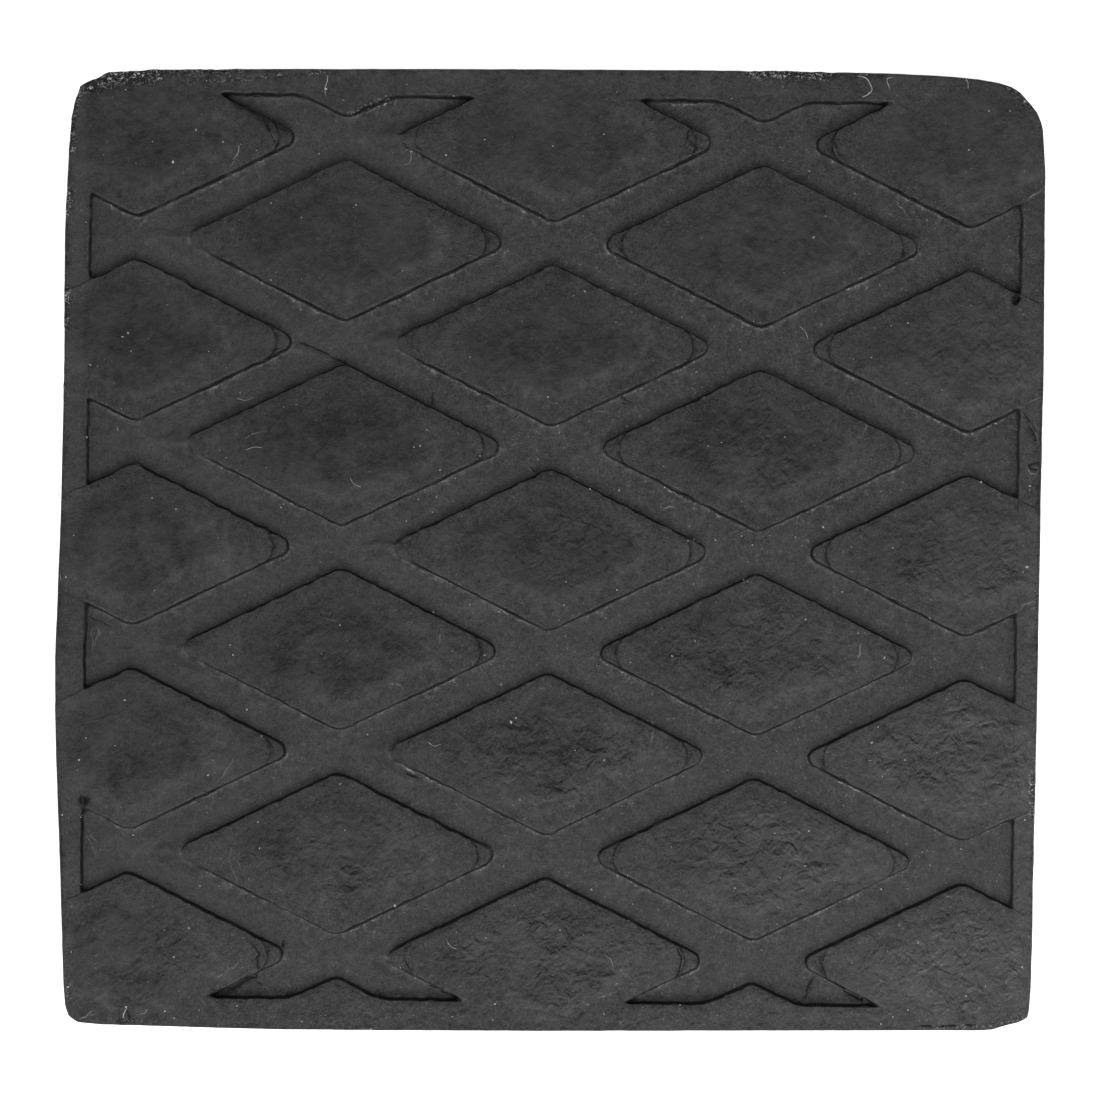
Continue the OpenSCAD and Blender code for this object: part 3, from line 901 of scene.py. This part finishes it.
def rubber():
    """Black cured rubber under a thin grey film of dust and mould powder, with painted light and shade mixed
    into the film.
    """
    bare_rubber = grey(0.004, 1.025)
    filmed_rubber = grey(0.08, 1.0125)
    thick_dust = grey(0.42, 0.976)
    material = bpy.data.materials.new("moulded rubber")
    material.use_nodes = True
    tree = material.node_tree
    shader = tree.nodes["Principled BSDF"]
    place = add_node(tree, "ShaderNodeTexCoord").outputs["Object"]
    # All lengths below are in mm, and so are the sizes of the noises
    x, y, z = [part / mm for part in split(tree, place)]
    gap, cut = named(tree, "gap") / mm, named(tree, "cut") / mm
    crown, crinkled, heart = named(tree, "crown"), named(tree, "crinkled"), named(tree, "heart")
    shoulder_light_and_shade, patch, face = named(tree, "shoulder_light_and_shade"), named(tree, "patch"), named(tree, "face")
    corner, seam_shade, front_wall = named(tree, "corner"), named(tree, "seam_shade"), named(tree, "front_wall")
    soft, run_out_light = named(tree, "soft"), named(tree, "run_out_light")
    pale, torn = named(tree, "pale"), named(tree, "torn")

    # The film is 0 where the rubber is bare, 1 where it is grey all over, and more where dust lies
    # thick. The faces carry less of it than the grooves do, except towards the front right, where painted
    # sheen raises it. All of the film is a little paler towards the front, as painted light.
    front_right_sheen = ramp(x - y * 0.6, 10, 85)
    front_right_sheen_wide = ramp(x - y * 0.7, -60, 85)
    rims = ramp(y, 69.5, 70.5, 0.0, 0.06) + ramp(y, -70, -69, -0.01, 0.0)
    rims += ramp(x, -72.5, -71.5, 1.0, 0.0) * ramp(y, -20, 30, 0.06, 0.12)
    rims += ramp(x, 71.5, 72.5) * ramp(y, -35, 0, 0.1, 0.02)
    blotches = cloudy(tree, place, 5.5, 3.0, 0.5, 0.4)
    haze = cloudy(tree, place, 1.4, 4.0, 0.65, offset=(0.2, 0.5, 0.1))
    grain = cloudy(tree, place, 0.28, 3.0, 0.7)
    flecks = ramp(cloudy(tree, place, 0.4, 2.0, 0.6, 0.6, offset=(0.7, 0.3, 0.6)), 0.6, 0.74)
    film_and_painted_light = 0.37 + ramp(y, -70, 20, 0.07, 0.0) + (blotches - 0.5) * (0.35 + crown * ramp(y, 0, 50, 0.35, 0.15))
    # Off the crowns the film is coarser, least so towards the back left corner
    coarser = ramp(x - y * 0.3, -60, 0) * (1.0 - face * 0.4)
    coarser = (1.0 - crown) * coarser.high(face * ramp(y, -30, -60, 0.0, 0.9))
    film_and_painted_light += (haze - 0.5) * (0.45 + coarser * 0.2)
    film_and_painted_light += (grain - 0.5) * (0.9 - crown * ramp(y, -30, 50, 0.25, 0.6) + coarser * 0.45)
    film_and_painted_light += flecks * ramp(haze, 0.4, 0.6, 0.08, 0.4) * (1.0 + coarser)
    # Painted sheen: faces, crowns and floor are paler towards the front right
    film_and_painted_light = film_and_painted_light + face * (front_right_sheen * 0.12 - 0.11) + rims
    film_and_painted_light += crown * (front_right_sheen_wide * 0.14 - ramp(y, 15, 40, 0.03, 0.005))
    film_and_painted_light = film_and_painted_light + crown * ramp(x - y, 60, 110, 0.0, 0.08) + ramp(x - y, 100, 135, 0.0, 0.06)
    film_and_painted_light += (1.0 - face) * x * 0.0006 * ramp(y, -20, 35, 1.0, 0.0)
    # Painted shadow darkens the floor along the front rim, and a face is darker along its own back edges
    film_and_painted_light -= (1.0 - face) * ramp(y, -67.2, -69.2, 0.0, 0.22)
    back_edge_darkening = (1.0 - front_wall) * ramp(gap, -1.8, -0.8) * face * ramp(x, 0, 50, 0.07, 0.02)
    film_and_painted_light -= back_edge_darkening * ramp(x.size(), 70.2, 70.8, 1.0, 0.0) * ramp(y, -69.5, -69)
    # A crown's middle is rubbed cleaner, and its shoulder gets a painted highlight and painted shade, mottled
    # by the haze
    film_and_painted_light -= heart * (ramp(y.size(), 30, 60, 0.08, 0.03) + ramp(x, -40, -10, 0.0, 0.035))
    film_and_painted_light += shoulder_light_and_shade * ramp(haze, 0.4, 0.6, 0.04, 0.15)
    # The soft patches, and painted light on the slopes at the left tips
    film_and_painted_light = film_and_painted_light + patch * (0.4 + blotches * 1.2) + run_out_light * 0.12

    def folded_skin(offset, size, stretched):
        """How much a wrinkled skin rises towards the back, where it faces the front and the soft box: the
        mask for painted light and shade.
        """
        heights = []
        for back in (-0.12 * mm, 0.12 * mm):
            at = moved(tree, place, (offset, 0.1 + back, 0.9))
            if stretched:
                # Short folds run from the front left to the back right
                a, b, c = split(tree, at)
                at = joined(tree, (a + b) * 0.4, (a - b) * 0.71, c)
            heights.append(cloudy(tree, at, size, 3.0, 0.6, 0.6))
        return heights[1] - heights[0], heights[0]

    fold_light_and_shade, folds = folded_skin(0.5, 0.9, True)
    lump_light_and_shade, lumps = folded_skin(0.3, 2.2, False)
    # Painted light on the folds' sides that face the soft box, and painted shade, only a little darker, on
    # their far sides
    film_and_painted_light += (fold_light_and_shade.high(fold_light_and_shade * 0.5) * 1.5 + lump_light_and_shade * 2.8) * (crinkled + 0.08)
    # Dust and painted light in the walls' corners, and painted shade in the seams at the tips' steps
    film_and_painted_light = film_and_painted_light + corner * ramp(haze, 0.35, 0.6, 0.1, 0.48) * ramp(y, 66.5, 68, 1.0, 0.5) - seam_shade * 0.3

    # No film lies on the groove walls, and their dark line is partly bare rubber and partly painted shade.
    # Those that face the front show as a line of uneven width, with a pale broken lip on both sides of it,
    # partly a painted highlight, and smears of dust on the floor before it
    uneven = ramp(cloudy(tree, place, 6.5, 1.0, offset=(0.6, 0.6, 0.3)), 0.42, 0.62)
    nicks = cloudy(tree, place, 0.8, 3.0, 0.65, offset=(0.1, 0.8, 0.5))
    below = 0.24 - (1.0 - front_wall) * ramp(y, -60, 50, 0.0, 0.1)
    below += front_wall * (uneven * 0.2 - 0.12 + (nicks - 0.5) * 0.6)
    above = 0.06 + front_wall * (uneven * 0.08 + (nicks - 0.5) * 0.3)
    line = ramp(gap, above * -1.0 - 0.06, above * -1.0) * ramp(gap, below, below + 0.08, 1.0, 0.0)
    line = line * (1.0 - soft) * (0.8 - front_wall * (1.0 - uneven) * 0.15) * ramp(x, 70.8, 71.4, 1.0, 0.6)
    lips_and_highlight = ramp(gap, below + 0.06, below + 0.16) * ramp(gap, below + 0.26, below + 0.4, 1.0, 0.0)
    lips_and_highlight += ramp(gap, -0.5, -0.3) * ramp(gap, -0.24, -0.1, 1.0, 0.0) * 0.7
    film_and_painted_light += lips_and_highlight * front_wall * ramp(grain + nicks, 0.9, 1.1) * (0.1 + uneven * 0.42) * (1.0 - soft)
    smears = ramp(gap, 0.3, 0.8) * ramp(gap, 1.2, 2.6, 1.0, 0.0)
    film_and_painted_light += smears * front_wall * ramp(haze, 0.5, 0.62) * uneven * 0.25 * (1.0 - soft)
    # Cracks are bare and darkened further as painted shade, scratches and torn edges pale
    film_and_painted_light = (film_and_painted_light - ramp(cut, 0.0, 0.1, smooth=False) * 0.8) * (1.0 - line)
    ragged = cloudy(tree, place, 0.45, 3.0, 0.7, 1.0, offset=(0.9, 0.2, 0.4))
    film_and_painted_light = film_and_painted_light + pale * 1.2 + torn * ramp(ragged, 0.5, 0.68, -0.5, 3.0)
    # The underside carries less film, which darkens it as painted shade against the light of the white floor
    # below
    film_and_painted_light *= ramp(z, 0.4, 2, 0.45, 1.0)

    colour = mixed(tree, ramp(film_and_painted_light, 0.0, 1.0, smooth=False), bare_rubber, filmed_rubber)
    colour = mixed(tree, ramp(film_and_painted_light, 1.0, 2.4, smooth=False), colour, thick_dust)
    plug(tree, colour, shader.inputs["Base Color"])
    plug(tree, 0.2, shader.inputs["Specular IOR Level"])
    plug(tree, ramp(film_and_painted_light, 0.1, 0.9, 0.52, 0.68, smooth=False), shader.inputs["Roughness"])
    normal = bumped(tree, lumps * crinkled, 0.9)
    normal = bumped(tree, folds * crinkled, 0.3, normal)
    # The side walls and the underside are smoother than the tread
    skin_depth = ramp(z, 1, 17, 0.15, 1.0)
    normal = bumped(tree, haze * skin_depth, 0.3, normal)
    normal = bumped(tree, grain * skin_depth, 0.1, normal)
    plug(tree, normal, shader.inputs["Normal"])
    return material


rubber_finish = rubber()
rubber_pad = grown("rubber_pad", slab_mesh(), relief_tree(rubber_finish), relief_sizes, rubber_finish)
rubber_pad.data.polygons.foreach_set("use_smooth", [True] * len(rubber_pad.data.polygons))
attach(rubber_pad, "root")
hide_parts("pad")
print("rubber_pad", len(rubber_pad.data.polygons), "faces")

# Dust and lint: grains of grit, crumbs of torn rubber and short fibres that lie on the tread.
# Nothing holds them but their own clinging to the rubber. The large ones lie as photographed,
# and the fine ones are strewn by chance.


def dust_finish(name, shade):
    """Matt dust, darker in places."""
    material = bpy.data.materials.new(name)
    material.use_nodes = True
    tree = material.node_tree
    shader = tree.nodes["Principled BSDF"]
    place = add_node(tree, "ShaderNodeTexCoord").outputs["Object"]
    tone = ramp(cloudy(tree, place, 1.5, 2.0), 0.35, 0.65, smooth=False)
    light = (shade, shade * 0.99, shade * 0.97, 1)
    plug(tree, mixed(tree, tone, grey(shade * 0.45), light), shader.inputs["Base Color"])
    plug(tree, 0.8, shader.inputs["Roughness"])
    plug(tree, bumped(tree, cloudy(tree, place, 0.1), 0.03), shader.inputs["Normal"])
    return material


strewn_sizes = {"Density": 26000.0, "Smallest": 0.06 * mm, "Largest": 0.2 * mm, "Torn share": 0.0}


def strewn_tree(name, material, seed):
    """Strews small grains over the upward faces of the pad; on torn edges only, or all over."""
    tree, start, size = new_tree(name, strewn_sizes)
    upward = split(tree, add_node(tree, "GeometryNodeInputNormal").outputs[0])[2] > 0.55
    on_top = split(tree, add_node(tree, "GeometryNodeInputPosition").outputs[0])[2] > 12 * mm
    share = 1.0 + (named(tree, "torn") - 1.0) * size["Torn share"]
    density = size["Density"] * upward * on_top * share
    given = {"Mesh": start.outputs[0], "Density": density, "Seed": seed}
    points = add_node(tree, "GeometryNodeDistributePointsOnFaces", given).outputs["Points"]
    ball = add_node(tree, "GeometryNodeMeshIcoSphere", {"Radius": 1.0, "Subdivisions": 1}).outputs[0]

    def by_chance(kind, values):
        return add_node(tree, "FunctionNodeRandomValue", values, data_type=kind).outputs

    spin = by_chance("FLOAT_VECTOR", {"Max": (6.3, 6.3, 6.3), "Seed": seed + 1})[0]
    proportions = {"Min": (0.4, 0.4, 0.25), "Max": (1.0, 1.6, 0.6), "Seed": seed + 2}
    stretch = by_chance("FLOAT_VECTOR", proportions)[0]
    # Most grains are near the smallest size
    luck = Field(tree, by_chance("FLOAT", {"Seed": seed + 3})[1])
    radius = size["Smallest"] + luck * luck * luck * (size["Largest"] - size["Smallest"])
    scaled = add_node(tree, "ShaderNodeVectorMath", {0: stretch, "Scale": radius}, operation="SCALE")
    given = {"Points": points, "Instance": ball, "Rotation": spin, "Scale": scaled.outputs[0]}
    end_tree(tree, add_node(tree, "GeometryNodeInstanceOnPoints", given).outputs[0], material)
    return tree


dust_grey = dust_finish("pale dust", 0.42)
dust_tree = strewn_tree("fine dust", dust_grey, 11)
fine_dust = grown("fine_dust", rubber_pad.data, dust_tree, strewn_sizes, dust_grey)
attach(fine_dust, "root")
shred_sizes = {"Density": 1.8e6, "Smallest": 0.05 * mm, "Largest": 0.2 * mm, "Torn share": 1.0}
crumb_grey = dust_finish("torn rubber crumbs", 0.2)
crumb_tree = strewn_tree("crumbs", crumb_grey, 23)
crumbs = grown("rubber_crumbs", rubber_pad.data, crumb_tree, shred_sizes, crumb_grey)
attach(crumbs, "root")

# Grit: place in the photograph and size across in mm
grit = [
    (196, 130, 0.42), (173, 162, 0.5), (223, 142, 0.36), (989, 111, 0.3), (1010, 111, 0.28),
    (969, 150, 0.3), (966, 172, 0.26), (928, 219, 0.3), (908, 323, 0.3), (810, 170, 0.36), (258, 822, 0.3),
    (189, 928, 0.3), (174, 957, 0.3), (132, 836, 0.3), (199, 887, 0.24), (218, 887, 0.24), (809, 831, 0.34),
    (882, 890, 0.3), (931, 866, 0.26), (1025, 820, 0.3), (918, 943, 0.3), (966, 996, 0.36),
    (908, 1010, 0.3), (1022, 967, 0.28), (962, 850, 0.3), (511, 722, 0.5), (516, 718, 0.4), (208, 775, 0.3),
    (246, 710, 0.4), (125, 700, 0.3), (446, 155, 0.34), (553, 146, 0.26), (617, 92, 0.26), (326, 89, 0.36),
    (386, 96, 0.3), (654, 69, 0.3), (981, 482, 0.4), (1030, 486, 0.34), (1027, 567, 0.5), (1023, 572, 0.3),
    (753, 545, 0.4), (824, 527, 0.4), (672, 656, 0.3), (695, 641, 0.3), (688, 541, 0.3), (694, 540, 0.3),
    (698, 542, 0.3), (716, 540, 0.3), (665, 487, 0.24), (690, 526, 0.24), (495, 1004, 0.3),
    (680, 1005, 0.3), (237, 1006, 0.26), (165, 1011, 0.3), (199, 1010, 0.26), (174, 1018, 0.26),
    (371, 1029, 0.3), (893, 1017, 0.28), (881, 1024, 0.28), (126, 1007, 0.36), (66, 577, 0.3),
    (62, 815, 0.3), (68, 987, 0.3), (66, 295, 0.4), (67, 189, 0.3), (79, 760, 0.34), (86, 738, 0.24),
    (499, 612, 0.3), (485, 655, 0.26), (414, 447, 0.26), (455, 478, 0.26), (418, 499, 0.24),
    (440, 470, 0.26), (566, 582, 0.26), (470, 605, 0.24), (427, 430, 0.26), (480, 456, 0.24),
    (436, 497, 0.24), (432, 512, 0.24), (406, 521, 0.24), (590, 489, 0.26), (564, 605, 0.28),
    (617, 590, 0.26), (742, 536, 0.22), (796, 537, 0.26), (843, 592, 0.26), (744, 580, 0.3),
    (340, 625, 0.24), (367, 735, 0.3), (520, 800, 0.26), (604, 760, 0.3), (233, 655, 0.26),
    (152, 498, 0.26), (176, 509, 0.3), (128, 333, 0.34), (131, 351, 0.26), (271, 203, 0.3),
    (356, 205, 0.26), (377, 307, 0.24), (300, 309, 0.24), (616, 322, 0.26), (470, 357, 0.24),
    (548, 397, 0.26), (708, 446, 0.3), (785, 437, 0.26), (942, 390, 0.26), (893, 548, 0.24),
    (878, 727, 0.26), (905, 760, 0.26), (735, 888, 0.26), (560, 930, 0.26), (486, 938, 0.24),
    (633, 905, 0.24), (345, 830, 0.26), (395, 905, 0.24),
]
# Fibres and thin lips of rubber: thickness in mm and the line in the photograph
fibres = [
    (0.12, [(857, 76), (866, 78), (870, 84), (872, 90), (867, 95), (862, 97)]),
    (0.08, [(893, 77), (887, 79), (888, 84), (890, 89)]),
    (0.08, [(966, 79), (968, 83), (968, 89)]),
    (0.1, [(328, 75), (327, 82), (325, 89), (326, 96)]),
    (0.12, [(127, 1008), (124, 1013), (123, 1018)]),
    (0.07, [(410, 150), (411, 157), (409, 162), (404, 164)]),
    (0.07, [(239, 145), (238, 152), (233, 160)]),
    (0.07, [(110, 203), (111, 209)]),
    (0.07, [(486, 658), (491, 665), (498, 671)]),
    (0.07, [(350, 478), (354, 484), (361, 487)]),
    (0.07, [(428, 742), (434, 746), (441, 744)]),
    (0.07, [(140, 1014), (145, 1013), (147, 1009)]),
    (0.07, [(60, 574), (61, 581)]),
    (0.07, [(246, 450), (254, 447), (263, 448)]),
    (0.07, [(236, 398), (245, 400), (252, 397)]),
    (0.07, [(605, 955), (611, 960), (613, 967)]),
    (0.07, [(446, 938), (450, 946), (457, 949)]),
    (0.07, [(800, 325), (806, 331), (809, 339)]),
]
pad_mesh = rubber_pad.data
skin = BVHTree.FromPolygons([v.co for v in pad_mesh.vertices], [p.vertices for p in pad_mesh.polygons])


def resting_at(x, y):
    """The pad's surface under a place of the photograph."""
    place = Vector((*seen_at(x, y), 0.05))
    hit = skin.ray_cast(place, Vector((0, 0, -1)))[0]
    return hit if hit is not None and hit.z > 0.01 else Vector((place.x, place.y, pad_h - 0.3 * mm))


def lying_dust():
    """The larger grains and the fibres as one mesh of small closed shapes."""
    places = []
    faces = []
    chance = random.Random(5)
    unit = bpy.data.meshes.new("grain")
    shape = bmesh.new()
    bmesh.ops.create_icosphere(shape, subdivisions=1, radius=1.0)
    shape.to_mesh(unit)
    shape.free()
    for x, y, across in grit:
        middle = resting_at(x, y)
        turn = chance.uniform(0, math.pi)
        wide = across * 0.42 * mm
        long = wide * chance.uniform(1.0, 1.5)
        start = len(places)
        for v in unit.vertices:
            a, b = v.co.x * long, v.co.y * wide * chance.uniform(0.8, 1.1)
            x_turned = a * math.cos(turn) - b * math.sin(turn)
            y_turned = a * math.sin(turn) + b * math.cos(turn)
            places.append(middle + Vector((x_turned, y_turned, (v.co.z + 0.5) * wide * 0.6)))
        faces += [tuple(start + i for i in p.vertices) for p in unit.polygons]
    bpy.data.meshes.remove(unit)
    for thick, line in fibres:
        spine = [resting_at(x, y) + Vector((0, 0, thick * 0.4 * mm)) for x, y in line]
        smooth = []
        for i in range(len(spine) - 1):
            before, after = spine[max(0, i - 1)], spine[min(len(spine) - 1, i + 2)]
            for step in range(3):
                t = step / 3
                smooth.append(
                    0.5 * (
                        2 * spine[i] + (spine[i + 1] - before) * t
                        + (2 * before - 5 * spine[i] + 4 * spine[i + 1] - after) * t * t
                        + (3 * spine[i] - before - 3 * spine[i + 1] + after) * t * t * t
                    )
                )
        smooth.append(spine[-1])
        start = len(places)
        for i, p in enumerate(smooth):
            ahead = (smooth[min(i + 1, len(smooth) - 1)] - smooth[max(i - 1, 0)]).normalized()
            across = ahead.cross(Vector((0, 0, 1))).normalized() * thick / 2 * mm
            up = across.cross(ahead)
            thin = 0.35 if i in (0, len(smooth) - 1) else 1.0
            places += [p + across * thin, p + up * thin, p - across * thin, p - up * thin]
        for i in range(len(smooth) - 1):
            for k in range(4):
                a, b = start + 4 * i + k, start + 4 * i + (k + 1) % 4
                faces.append((a, b, b + 4, a + 4))
        end = start + 4 * (len(smooth) - 1)
        faces += [(start + 3, start + 2, start + 1, start), (end, end + 1, end + 2, end + 3)]
    mesh = bpy.data.meshes.new("grit_and_fibres")
    mesh.from_pydata(places, [], faces)
    shape = bmesh.new()
    shape.from_mesh(mesh)
    bmesh.ops.recalc_face_normals(shape, faces=shape.faces)
    shape.to_mesh(mesh)
    shape.free()
    return mesh


grit_mesh = lying_dust()
grit_mesh.materials.append(dust_finish("grit", 0.45))
grit_and_fibres = bpy.data.objects.new("grit_and_fibres", grit_mesh)
bpy.context.collection.objects.link(grit_and_fibres)
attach(grit_and_fibres, "root")
print("dust", len(fine_dust.data.polygons), len(crumbs.data.polygons), len(grit_mesh.polygons), "faces")

# The table: a plain white sheet, lit from inside as well, so that no shadow darkens it.
# It stands for the studio's seamless white paper, and lies a hair below the pad.
floor_mesh = bpy.data.meshes.new("white_floor")
floor_corners = [(-4, -4), (4, -4), (4, 4), (-4, 4)]
floor_mesh.from_pydata([(x, y, -0.1 * mm) for x, y in floor_corners], [], [(0, 1, 2, 3)])
floor_paint = bpy.data.materials.new("white paper")
floor_paint.use_nodes = True
floor_tree = floor_paint.node_tree
paper = floor_tree.nodes["Principled BSDF"]
plug(floor_tree, grey(0.9), paper.inputs["Base Color"])
plug(floor_tree, 0.9, paper.inputs["Roughness"])
plug(floor_tree, 0.1, paper.inputs["Specular IOR Level"])
plug(floor_tree, grey(1.0), paper.inputs["Emission Color"])
plug(floor_tree, 0.75, paper.inputs["Emission Strength"])
# Seen from below it is clear, so that the pad's underside can be looked at too
below = add_node(floor_tree, "ShaderNodeNewGeometry").outputs["Backfacing"]
clear = add_node(floor_tree, "ShaderNodeBsdfTransparent").outputs[0]
either = add_node(floor_tree, "ShaderNodeMixShader", {0: below, 1: paper.outputs[0], 2: clear}).outputs[0]
plug(floor_tree, either, floor_tree.nodes["Material Output"].inputs[0])
floor_mesh.materials.append(floor_paint)
white_floor = bpy.data.objects.new("white_floor", floor_mesh)
bpy.context.collection.objects.link(white_floor)

# The light: a large soft box high in front, which draws the dark lines under the walls, a second
# one overhead and an even white room round them.
key = bpy.data.lights.new("soft box", "AREA")
key.shape = "SQUARE"
key.size = 0.4
key.energy = 3
soft_box = bpy.data.objects.new("soft box", key)
soft_box.location = (0.02, -0.22, 0.58)
soft_box.rotation_euler = (Vector((0, 0, 0.02)) - soft_box.location).to_track_quat("-Z", "Y").to_euler()
bpy.context.collection.objects.link(soft_box)
overhead = bpy.data.lights.new("overhead box", "AREA")
overhead.shape = "SQUARE"
overhead.size = 0.9
overhead.energy = 2
overhead_box = bpy.data.objects.new("overhead box", overhead)
overhead_box.location = (0.05, -0.1, 1.2)
bpy.context.collection.objects.link(overhead_box)
room = bpy.data.worlds.new("room")
room.use_nodes = True
room.node_tree.nodes["Background"].inputs["Color"].default_value = (1, 1, 1, 1)
room.node_tree.nodes["Background"].inputs["Strength"].default_value = 0.42
bpy.context.scene.world = room

# The camera: straight above the tread and turned by less than a degree, as in the photograph.
# Its long lens shows no side of the slab.
camera_height = 0.9
lens = bpy.data.cameras.new("camera")
lens.sensor_width = 36
lens.lens = 36 * camera_height / view_width
lens.clip_start = 0.05
lens.clip_end = 20
camera = bpy.data.objects.new("camera", lens)
camera.location = (*view_middle, pad_h + camera_height)
camera.rotation_euler = (0, 0, view_turn)
bpy.context.collection.objects.link(camera)
bpy.context.scene.camera = camera
bpy.context.scene.view_settings.view_transform = "Standard"
